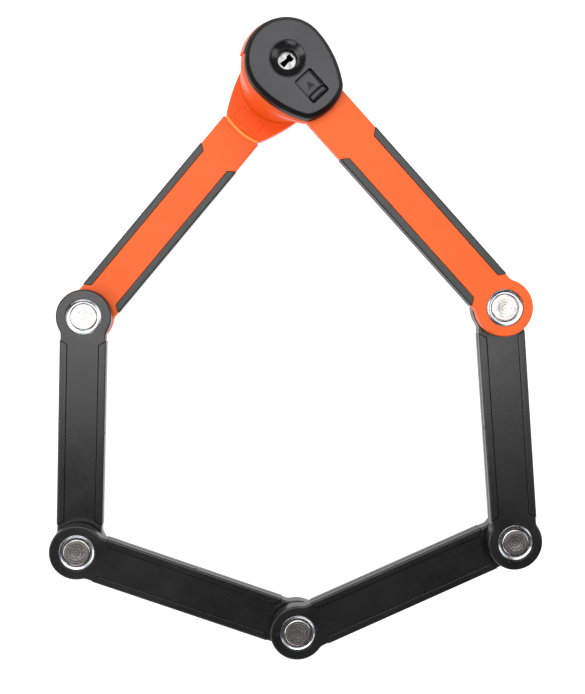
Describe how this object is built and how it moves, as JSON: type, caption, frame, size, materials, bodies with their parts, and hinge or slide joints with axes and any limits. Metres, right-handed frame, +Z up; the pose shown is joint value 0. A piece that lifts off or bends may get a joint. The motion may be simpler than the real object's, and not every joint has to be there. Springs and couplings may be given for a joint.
{
  "type": "folding bike lock",
  "caption": "Folding bike lock: a loop of plastic-jacketed steel links on rivets, two orange end links, and a keyed lock head that closes on a collar.",
  "frame": {"origin": "middle of the object's footprint, on the surface that it lies on", "axes": "+Z up out of the loop, +Y towards the lock head, along the loop's longer way"},
  "size_m": [0.2676, 0.3408, 0.0618],
  "materials": {
    "orange_shell": "fine-grained moulded plastic",
    "grey_strip": "fine-grained moulded plastic",
    "black_shell": "fine-grained moulded plastic",
    "black_strip": "fine-grained moulded plastic",
    "orange_head": "smooth moulded plastic",
    "orange_insert": "glossy moulded plastic",
    "cap_black": "fine-grained moulded plastic",
    "bezel_black": "polished",
    "core_steel": "hardened, plain",
    "rivet_metal": "turned faces",
    "washer_zinc": "bright zinc",
    "spacer_plastic": "plain",
    "plug_nickel": "nickel plated",
    "brass": "machined",
    "spring_steel": "plain",
    "screw_zinc": "bright zinc"
  },
  "bodies": {
    "end_link_a": {"collar_base": "cap_black", "collar_screws": "screw_zinc", "collar_shell": "orange_head", "end_link_a_core": "core_steel", "end_link_a_jacket": "orange_shell", "end_link_a_strips": "grey_strip", "neck_insert": "orange_insert", "spacer_1": "spacer_plastic", "strike_ring": "core_steel"},
    "link_1": {"link_1_core": "core_steel", "link_1_jacket": "black_shell", "link_1_strips": "black_strip", "rivet_1": "rivet_metal", "spacer_2": "spacer_plastic", "washers_1": "washer_zinc"},
    "link_2": {"link_2_core": "core_steel", "link_2_jacket": "black_shell", "link_2_strips": "black_strip", "rivet_2": "rivet_metal", "spacer_3": "spacer_plastic", "washers_2": "washer_zinc"},
    "link_3": {"link_3_core": "core_steel", "link_3_jacket": "black_shell", "link_3_strips": "black_strip", "rivet_3": "rivet_metal", "spacer_4": "spacer_plastic", "washers_3": "washer_zinc"},
    "link_4": {"link_4_core": "core_steel", "link_4_jacket": "black_shell", "link_4_strips": "black_strip", "rivet_4": "rivet_metal", "spacer_5": "spacer_plastic", "washers_4": "washer_zinc"},
    "end_link_b": {"cap_screws": "screw_zinc", "case_foot": "core_steel", "cover_spring": "spring_steel", "cylinder_shell": "brass", "driver_pins": "brass", "end_link_b_core": "core_steel", "end_link_b_jacket": "orange_shell", "end_link_b_strips": "grey_strip", "guide_pin": "spring_steel", "keyhole_bezel": "bezel_black", "lock_cap": "cap_black", "lock_case": "core_steel", "lock_housing": "orange_head", "pin_springs": "spring_steel", "rivet_5": "rivet_metal", "washers_5": "washer_zinc"},
    "key_plug": {"drive_pin": "spring_steel", "key_pins": "brass", "key_plug": "plug_nickel", "plug_clip": "spring_steel"},
    "locking_bolt": {"locking_bolt": "core_steel"},
    "keyhole_cover": {"cover_grip": "cap_black", "keyhole_cover": "cap_black"}
  },
  "joints": [
    {"name": "pivot_1", "type": "hinge", "parent": "end_link_a", "child": "link_1", "pos_m": [-0.11505, 0.01676, 0.009], "axis": [0, 0, 1], "range_deg": [-218.1, 141.9]},
    {"name": "pivot_2", "type": "hinge", "parent": "link_1", "child": "link_2", "pos_m": [-0.11884, -0.11118, 0.018], "axis": [0, 0, 1], "range_deg": [-251.5, 108.5]},
    {"name": "pivot_3", "type": "hinge", "parent": "link_2", "child": "link_3", "pos_m": [0.00128, -0.15538, 0.027], "axis": [0, 0, 1], "range_deg": [-223.5, 136.5]},
    {"name": "pivot_4", "type": "hinge", "parent": "link_3", "child": "link_4", "pos_m": [0.11884, -0.10475, 0.036], "axis": [0, 0, -1], "range_deg": [-25, 251.48]},
    {"name": "pivot_5", "type": "hinge", "parent": "link_4", "child": "end_link_b", "pos_m": [0.10818, 0.02281, 0.045], "axis": [0, 0, -1], "range_deg": [-70, 218.12]},
    {"name": "key_turn", "type": "hinge", "parent": "end_link_b", "child": "key_plug", "pos_m": [-0.00687, 0.1466, 0.0562], "axis": [0, 0, 1], "range_deg": [0, 90]},
    {"name": "bolt_slide", "type": "slide", "parent": "end_link_b", "child": "locking_bolt", "axis": [0, 0, -1], "range_m": [0, 0.007]},
    {"name": "cover_slide", "type": "slide", "parent": "end_link_b", "child": "keyhole_cover", "axis": [-0.6807, 0.7325, 0], "range_m": [0, 0.0094]}
  ],
  "couplings": [
    {"joint": "bolt_slide", "follows": "key_turn", "m_per_rad": 0.0044563}
  ]
}
